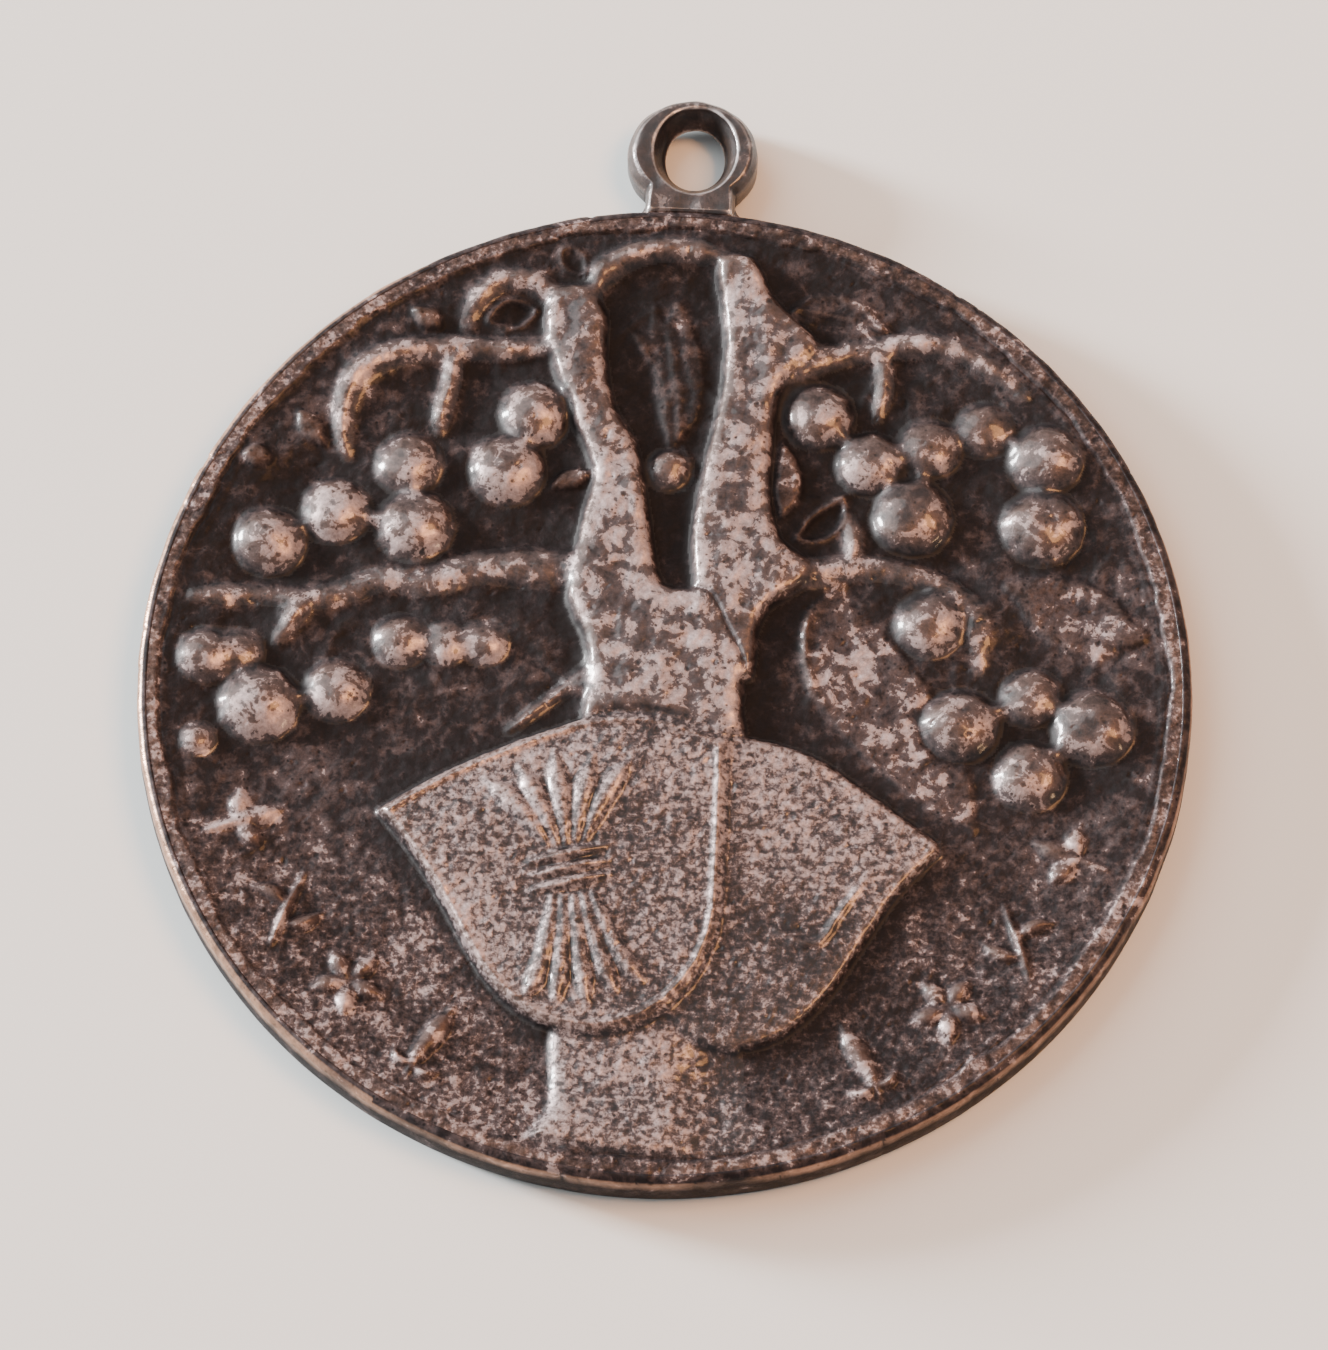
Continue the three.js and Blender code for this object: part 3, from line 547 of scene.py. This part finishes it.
def closed_disc(points, faces, first, z, up):
    """Closes a ring of 4 * CELLS points with a coarser disc that shares the face's layout."""
    step_size = CELLS // COARSE_CELLS
    line = slice(None, None, step_size)
    inner = 0.985 * (np.hypot(points[first, 0], points[first, 1]) / FACE_RADIUS)
    x, y = FACE_X[line, line] * inner, FACE_Y[line, line] * inner
    start = len(points)
    points = np.concatenate([points, np.stack([x.ravel(), y.ravel(), np.full(x.size, z)], 1)])
    width = COARSE_CELLS + 1
    index = start + np.arange(width * width).reshape(width, width)
    quads = np.stack([index[:-1, :-1], index[:-1, 1:], index[1:, 1:], index[1:, :-1]], -1).reshape(-1, 4)
    loop = np.concatenate([index[:-1, -1], index[-1, :0:-1], index[:0:-1, 0], index[0, :-1]])
    added = quads.tolist()
    count = 4 * CELLS
    for k in range(4 * COARSE_CELLS):
        near, far = int(loop[k]), int(loop[(k + 1) % len(loop)])
        outer = [first + (k * step_size + m) % count for m in range(step_size + 1)]
        added += [(near, outer[m], outer[m + 1]) for m in range(step_size)]
        added.append((near, outer[-1], far))
    if not up:
        added = [face[::-1] for face in added]
    return points, faces + added


# ---------------------------------------------------------------- materials


class Shading:
    """A material under construction. Most of its methods add nodes and return the output that they end in."""

    def __init__(self, name):
        self.material = bpy.data.materials.new(name)
        self.material.use_nodes = True
        self.tree = self.material.node_tree
        self.shader = self.tree.nodes["Principled BSDF"]
        scaled = self.node("ShaderNodeVectorMath", operation="SCALE")
        scaled.inputs["Scale"].default_value = 1 / MM
        self.link(self.node("ShaderNodeTexCoord").outputs["Object"], scaled.inputs[0])
        self.place = scaled.outputs[0]

    def node(self, kind, **settings):
        made = self.tree.nodes.new(kind)
        for key, value in settings.items():
            setattr(made, key, value)
        return made

    def link(self, output, socket):
        self.tree.links.new(output, socket)

    def attribute(self, key):
        return self.node("ShaderNodeAttribute", attribute_name=key).outputs["Fac"]

    def maths(self, operation, a, b, clamp=False):
        made = self.node("ShaderNodeMath", operation=operation, use_clamp=clamp)
        for socket, value in zip(made.inputs, (a, b)):
            if isinstance(value, (int, float)):
                socket.default_value = value
            else:
                self.link(value, socket)
        return made.outputs[0]

    def total(self, first, *others):
        for other in others:
            first = self.maths("ADD", first, other)
        return first

    def times(self, a, b, clamp=False):
        return self.maths("MULTIPLY", a, b, clamp)

    def centred(self, value, gain):
        """The value's swing about its middle, times the gain."""
        return self.times(self.maths("SUBTRACT", value, 0.5), gain)

    def waves(self, scale, detail, rough=0.6, distortion=0.0):
        """Noise with this many waves per millimetre."""
        made = self.node("ShaderNodeTexNoise")
        self.link(self.place, made.inputs["Vector"])
        settings = {"Scale": scale, "Detail": detail, "Roughness": rough, "Distortion": distortion}
        for key, value in settings.items():
            made.inputs[key].default_value = value
        return made.outputs["Fac"]

    def streaks(self, x, y, detail):
        """Noise with different numbers of waves per millimetre along X and Y."""
        squeezed = self.node("ShaderNodeMapping")
        squeezed.inputs["Scale"].default_value = (x, y, y)
        self.link(self.place, squeezed.inputs["Vector"])
        made = self.node("ShaderNodeTexNoise")
        self.link(squeezed.outputs[0], made.inputs["Vector"])
        made.inputs["Scale"].default_value = 1.0
        made.inputs["Detail"].default_value = detail
        return made.outputs["Fac"]

    def spots(self, scale, reach):
        """1 in small round pits, and 0 between them."""
        made = self.node("ShaderNodeTexVoronoi")
        self.link(self.place, made.inputs["Vector"])
        made.inputs["Scale"].default_value = scale
        return self.maths("SUBTRACT", 1.0, self.times(made.outputs["Distance"], 1 / reach), True)

    def ramp(self, value, stops):
        """A colour that depends on the value, through stops of a value and a colour each."""
        made = self.node("ShaderNodeValToRGB")
        self.link(value, made.inputs["Fac"])
        elements = made.color_ramp.elements
        while len(elements) < len(stops):
            elements.new(0.5)
        for element, (at, colour) in zip(elements, stops):
            element.position = at
            element.color = (*colour, 1)
        return made.outputs["Color"]

    def blend(self, amount, a, b, kind="MIX"):
        """Colour a mixed with, or multiplied by, colour b. The amount is a number or an output."""
        made = self.node("ShaderNodeMix", data_type="RGBA", blend_type=kind)
        for socket, value in ((made.inputs["Factor"], amount), (made.inputs[6], a), (made.inputs[7], b)):
            if isinstance(value, tuple):
                socket.default_value = (*value, 1)
            elif isinstance(value, float):
                socket.default_value = value
            else:
                self.link(value, socket)
        return made.outputs[2]


def patina_tone(shading, wear_and_shade, fine, grain):
    """How far the dark patina is worn through, with the painted light and shade that the worn values carry:
    blotches and clouds, or specks where it is fine, and pits.
    """
    blotch, speck = shading.waves(1.8, 4, 0.62, 0.4), shading.waves(4.6, 4, 0.65, 0.3)
    coarse = shading.maths("SUBTRACT", 1.0, fine)
    fleck = shading.total(shading.times(blotch, coarse), shading.times(speck, fine))
    mottle = shading.total(
        shading.centred(fleck, 1.55),
        shading.centred(shading.waves(0.4, 3), 0.6),
        shading.centred(speck, 0.40),
        shading.times(shading.centred(blotch, 0.6), fine),
        shading.times(shading.centred(shading.streaks(2, 9, 3), 0.45), fine),
    )
    pits = shading.maths("ADD", shading.spots(1.5, 0.17), shading.spots(3.3, 0.2), True)
    tone = shading.total(wear_and_shade, mottle, shading.centred(grain, 0.22))
    return shading.maths("SUBTRACT", tone, shading.times(pits, 0.45), True)


def patina_colour(shading, tone, fine, dark, light):
    """From dark through brown to light metal: in crisp flecks, or evenly where the patina is fine."""
    brown = tuple(warm * d * (l / d) ** 0.42 for d, l, warm in zip(dark, light, (1.0, 0.95, 0.91)))

    def shades(*stops):
        return [(at, tuple(part * channel for channel in colour)) for at, part, colour in stops]

    shadows = shades((0.0, 0.45, dark), (0.25, 1, dark))
    crisp = shading.ramp(tone, shadows + shades((0.44, 0.72, brown), (0.585, 1.15, brown), (0.62, 0.5, light),
                                                (0.80, 0.78, light), (1.0, 1, light)))
    even = shading.ramp(tone, shadows + shades((0.42, 0.6, brown), (0.56, 1.35, brown), (0.68, 0.46, light),
                                               (1.0, 0.9, light)))
    tint = shading.ramp(shading.waves(8, 5, 0.7), [(0.3, (0.62, 0.62, 0.62)), (0.7, (1.25, 1.22, 1.2))])
    return shading.blend(1.0, shading.blend(fine, crisp, even), tint, "MULTIPLY")


def bronze(name, dark, light, edge_metal_and_highlight, roughness, coat, gloss):
    """Old bronze: a dark patina worn through in flecks, with uncovered metal on the crests, partly a painted
    highlight.
    """
    shading = Shading(name)
    # The worn values carry painted shade and light besides real wearing; the edge values carry uncovered
    # metal and painted highlight.
    wear_and_shade, crest, fine = [shading.attribute(key) for key in ("worn", "edge", "fine")]
    grain = shading.waves(18, 3, 0.7)
    tone = patina_tone(shading, wear_and_shade, fine, grain)
    colour = patina_colour(shading, tone, fine, dark, light)
    # Crests take the edge colour: uncovered metal, partly a painted highlight.
    uncovered_and_highlit = shading.times(crest, shading.total(tone, 0.2), True)
    metal = shading.maths("ADD", shading.times(tone, 0.55), shading.times(crest, 0.5), True)
    dirt = shading.maths("SUBTRACT", 1.0, shading.times(wear_and_shade, 2.2), True)
    rough = shading.total(shading.times(grain, 0.16), roughness, shading.times(dirt, 0.2))
    lacquer = shading.times(shading.times(shading.maths("SUBTRACT", wear_and_shade, 0.2), 4.0, True), coat)
    lift = shading.node("ShaderNodeBump")
    lift.inputs["Strength"].default_value = 0.5
    lift.inputs["Distance"].default_value = 0.035 * MM
    shading.link(shading.total(shading.times(tone, 0.7), shading.times(grain, 0.35)), lift.inputs["Height"])

    inputs = shading.shader.inputs
    shading.link(shading.blend(uncovered_and_highlit, colour, edge_metal_and_highlight), inputs["Base Color"])
    shading.link(metal, inputs["Metallic"])
    shading.link(shading.maths("SUBTRACT", rough, shading.times(crest, 0.25)), inputs["Roughness"])
    shading.link(lacquer, inputs["Coat Weight"])
    shading.link(lift.outputs[0], inputs["Normal"])
    inputs["Specular IOR Level"].default_value = gloss
    inputs["Coat Roughness"].default_value = 0.13
    inputs["Coat IOR"].default_value = 1.6
    return shading.material


DARK = (0.0112, 0.0089, 0.0100)
LIGHT = (0.372, 0.298, 0.297)
COPPER = (0.62, 0.37, 0.25)
# The eyelet's edge colour is nearly white: uncovered metal and a painted highlight on its crests.
EYELET_DARK, EYELET_LIGHT, EYELET_EDGE_HIGHLIGHT = (0.012, 0.0090, 0.0092), (0.20, 0.162, 0.157), (0.90, 0.85, 0.84)
SOLDER_DARK, SOLDER_LIGHT, SOLDER_EDGE = (0.018, 0.0135, 0.0135), (0.20, 0.162, 0.157), (0.50, 0.43, 0.40)

# Each slot's dark, light and edge colours, then its roughness, coat and gloss. The edge colour is uncovered
# metal, partly a painted highlight, nearly white on the eyelet.
materials = {
    "dark_patina": bronze("dark_patina", DARK, LIGHT, COPPER, 0.42, 0.08, 0.1),
    "worn_relief": bronze("worn_relief", DARK, LIGHT, COPPER, 0.35, 0.34, 0.2),
    "eyelet_bronze": bronze("eyelet_bronze", EYELET_DARK, EYELET_LIGHT, EYELET_EDGE_HIGHLIGHT, 0.30, 0.5, 0.4),
    "solder_joint": bronze("solder_joint", SOLDER_DARK, SOLDER_LIGHT, SOLDER_EDGE, 0.32, 0.1, 0.4),
}


# ---------------------------------------------------------------- the pieces

QUARTERS = {-1: "medal_field_lower_left", -2: "medal_field_lower_right",
            -3: "medal_field_upper_left", -4: "medal_field_upper_right"}
labels = cell_labels()
for number, piece_name in QUARTERS.items():
    add_piece(face_piece(piece_name, labels == number), BLANK)
for number, node_name in enumerate(RELIEF_NODES, 1):
    cells = labels == number
    if cells.any():
        add_piece(face_piece("struck_" + node_name, cells), node_name)
add_piece(edge_piece(), BLANK)


# ---------------------------------------------------------------- eyelet and solder


def loft(rings, around=False):
    """Points and faces that join rings in turn: round again to the first, or closed flat at both ends."""
    count = len(rings[0])
    here = np.arange(count)
    there = (here + 1) % count
    faces = []
    for k in range(len(rings) if around else len(rings) - 1):
        a, b = k * count, (k + 1) % len(rings) * count
        faces += np.stack([a + here, a + there, b + there, b + here], 1).tolist()
    if not around:
        faces += [here[::-1].tolist(), (here + (len(rings) - 1) * count).tolist()]
    return np.concatenate(rings), faces


def soft_solid(name, solid, voxel, rounds, ripple):
    """A closed solid in millimetres, given one even skin and smoothed. Ripple moves the skin in and out."""
    points, faces = solid
    mesh = bpy.data.meshes.new(name)
    mesh.from_pydata(points.tolist(), [], faces)
    shell = bpy.data.objects.new(name, mesh)
    bpy.context.scene.collection.objects.link(shell)
    melt = shell.modifiers.new("melt", "REMESH")
    melt.mode, melt.voxel_size = "VOXEL", voxel
    ease = shell.modifiers.new("ease", "SMOOTH")
    ease.factor, ease.iterations = 0.5, rounds
    melted = bpy.data.meshes.new_from_object(shell.evaluated_get(bpy.context.evaluated_depsgraph_get()))
    bpy.data.objects.remove(shell)
    bpy.data.meshes.remove(mesh)

    count = len(melted.vertices)
    at, outward = np.empty(count * 3), np.empty(count * 3)
    melted.vertices.foreach_get("co", at)
    melted.vertices.foreach_get("normal", outward)
    at, outward = at.reshape(-1, 3), outward.reshape(-1, 3)
    pairs = np.empty(len(melted.edges) * 2, np.int32)
    melted.edges.foreach_get("vertices", pairs)
    pairs = pairs.reshape(-1, 2)

    around = at
    for _ in range(6):
        total, number = np.zeros_like(at), np.zeros(count)
        for near, far in ((0, 1), (1, 0)):
            np.add.at(total, pairs[:, near], around[pairs[:, far]])
            np.add.at(number, pairs[:, near], 1)
        around = total / number[:, None]
    sharp = ((at - around) * outward).sum(1) / voxel
    at = at + outward * ripple(at)[:, None]
    melted.vertices.foreach_set("co", (at * MM).ravel())
    melted.shade_smooth()
    # The edge values pick the crests for the edge colour: uncovered metal, and on the eyelet a painted
    # highlight.
    set_values(melted, "worn", np.clip(0.34 + 0.9 * np.clip(sharp, -0.3, 0.3), 0, 1))
    set_values(melted, "edge", np.clip(2.2 * sharp - 0.4, 0, 1))
    melted.update()
    made = bpy.data.objects.new(name, melted)
    bpy.context.scene.collection.objects.link(made)
    return made


def knocks(at):
    """Small hammered waves over the eyelet or its solder, in millimetres."""
    x, y, z = at.T
    slow = np.sin(3.1 * x + 1.3 * z) * np.sin(2.6 * y + 0.7)
    quick = np.sin(7.3 * x - 2 * y) * np.sin(6.1 * z + 3 * y)
    return 0.018 * slow + 0.010 * quick


# The eyelet's outline: an oval, with a straight foot that runs a little way into the disc's edge.
EYELET_HALF_HEIGHT = 1.9
EYELET_TURNS = 240
FOOT_HALF_WIDTH = 1.4
FOOT_BOTTOM = MEDAL_RADIUS - 0.22
HOLE_SHIFT = 0.08

# Its section, up its hole and down its outside: the hole's half width and half height as parts of the
# oval's, or how far it stands out from the outline, each with its height as a part of the thickness.
HOLE = ((0.64, 0.78, 0.0), (0.58, 0.72, 0.08), (0.50, 0.60, 0.40), (0.455, 0.565, 0.47), (0.455, 0.565, 0.52),
        (0.50, 0.60, 0.58), (0.62, 0.78, 0.93), (0.635, 0.795, 0.985), (0.66, 0.82, 1.0))
BEVEL = ((-0.26, 1.0), (-0.17, 0.96), (-0.02, 0.78), (0.0, 0.70), (0.0, 0.28), (-0.2, 0.06), (-0.32, 0.0))


def eyelet_ring(low, high):
    """The ring and its foot: a flat face, bevelled outside, and a hole that narrows to a waist halfway."""
    middle = (low[0] + high[0]) / 2
    half_width = (high[0] - low[0]) / 2
    centre = high[1] - EYELET_HALF_HEIGHT
    thick = high[2] - low[2]
    rings = []
    for turn in np.linspace(0, 2 * math.pi, EYELET_TURNS, endpoint=False):
        c, s = math.cos(turn), math.sin(turn)
        press = 1 - 0.10 * max(s, 0) ** 3
        reach = 1 / math.hypot(c / half_width, s / EYELET_HALF_HEIGHT)
        if s < 0:
            reach = max(reach, min(FOOT_HALF_WIDTH / max(abs(c), 1e-6), (centre - FOOT_BOTTOM) / -s))
        ring = [(middle + HOLE_SHIFT + half_width * a * c, centre + EYELET_HALF_HEIGHT * b * s, z)
                for a, b, z in HOLE]
        ring += [(middle + (reach + inset) * c, centre + (reach + inset) * s, z) for inset, z in BEVEL]
        rings.append(np.array([(x, y, low[2] + thick * (0.5 + (z - 0.5) * press)) for x, y, z in ring]))
    return loft(rings, around=True)


def block(half_widths, y_low, y_high, z_low, z_high, bevel):
    """A bar between two heights of Y whose half width changes along it, with its long corners bevelled."""
    rings = []
    for part, half in zip(np.linspace(0, 1, len(half_widths)), half_widths):
        y = y_low + part * (y_high - y_low)
        rings.append(np.array([
            (half, y, z_low + bevel), (half, y, z_high - bevel), (half - bevel, y, z_high),
            (bevel - half, y, z_high), (-half, y, z_high - bevel), (-half, y, z_low + bevel),
            (bevel - half, y, z_low), (half - bevel, y, z_low)])[::-1])
    return loft(rings)


def make_eyelet():
    low, high = [np.array(corner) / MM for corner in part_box(EYELET)]
    made = soft_solid("bronze_eyelet", eyelet_ring(low, high), 0.04, 2, knocks)
    return add_piece(made, EYELET)


def make_solder():
    low, high = [np.array(corner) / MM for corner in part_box(SOLDER)]
    half = (high[0] - low[0]) / 2
    bar = block([half + 0.15, half + 0.05, half - 0.18, half - 0.25], low[1] - 0.35, high[1] + 0.1,
                low[2] + 0.02, high[2] - 0.06, 0.25)
    made = soft_solid("solder_saddle", bar, 0.05, 6, lambda at: 1.8 * knocks(at))
    return add_piece(made, SOLDER)


make_eyelet()
make_solder()


# ---------------------------------------------------------------- floor, light and camera

# The floor and the lamps are given in metres.
FLOOR_REACH = 1.5


def make_floor():
    mesh = bpy.data.meshes.new("floor")
    corners = ((-1, -1), (1, -1), (1, 1), (-1, 1))
    mesh.from_pydata([(FLOOR_REACH * x, FLOOR_REACH * y, 0) for x, y in corners], [], [(0, 1, 2, 3)])
    floor = bpy.data.objects.new("floor", mesh)
    bpy.context.scene.collection.objects.link(floor)
    material = bpy.data.materials.new("floor_paper")
    material.use_nodes = True
    shader = material.node_tree.nodes["Principled BSDF"]
    shader.inputs["Base Color"].default_value = (0.60, 0.62, 0.61, 1)
    shader.inputs["Roughness"].default_value = 0.9
    mesh.materials.append(material)


def stand(name, data, azimuth, elevation, distance, aim=(0, 0, 0)):
    """Puts a lamp or camera where it looks at the aim. Azimuth 0 is in front and 90 is at the right."""
    a, e = math.radians(azimuth), math.radians(elevation)
    back = Vector((math.sin(a) * math.cos(e), -math.cos(a) * math.cos(e), math.sin(e)))
    made = bpy.data.objects.new(name, data)
    made.location = Vector(aim) + back * distance
    made.rotation_mode = "QUATERNION"
    made.rotation_quaternion = back.to_track_quat("Z", "Y")
    bpy.context.scene.collection.objects.link(made)
    return made


def add_light(name, azimuth, elevation, distance, size, power, colour):
    """A soft light, wide by high, that looks at the medal."""
    lamp = bpy.data.lights.new(name, "AREA")
    lamp.shape = "RECTANGLE"
    lamp.size, lamp.size_y = size
    lamp.energy = power
    lamp.color = colour
    stand(name, lamp, azimuth, elevation, distance)


def add_world(colour, strength):
    world = bpy.data.worlds.new("studio")
    world.use_nodes = True
    background = world.node_tree.nodes["Background"]
    background.inputs["Color"].default_value = (*colour, 1)
    background.inputs["Strength"].default_value = strength
    bpy.context.scene.world = world


def add_camera(azimuth, elevation, distance, aim, lens):
    """The camera, with its distance, aim and lens in millimetres."""
    camera = bpy.data.cameras.new("camera")
    camera.lens = lens
    camera.sensor_width = 36
    camera.clip_start, camera.clip_end = 0.01, 10
    bpy.context.scene.camera = stand("camera", camera, azimuth, elevation, distance * MM, Vector(aim) * MM)


make_floor()
add_world((0.95, 0.97, 1.0), 0.62)
add_light("key_left", -122, 46, 0.4, (0.36, 0.3), 1.4, (0.96, 0.98, 1.0))
add_light("window_left", -108, 12, 0.8, (0.13, 0.18), 33.0, (1.0, 1.0, 1.0))
add_light("glint_right", 96, 62, 0.4, (0.16, 0.16), 2.1, (1.0, 0.44, 0.17))
add_light("low_lower_right", 60, 15, 0.4, (0.05, 0.02), 0.12, (1.0, 0.60, 0.32))
add_camera(2.8, 67.358, 220, (-0.0445, 0.5987, 0.8), 192.65)
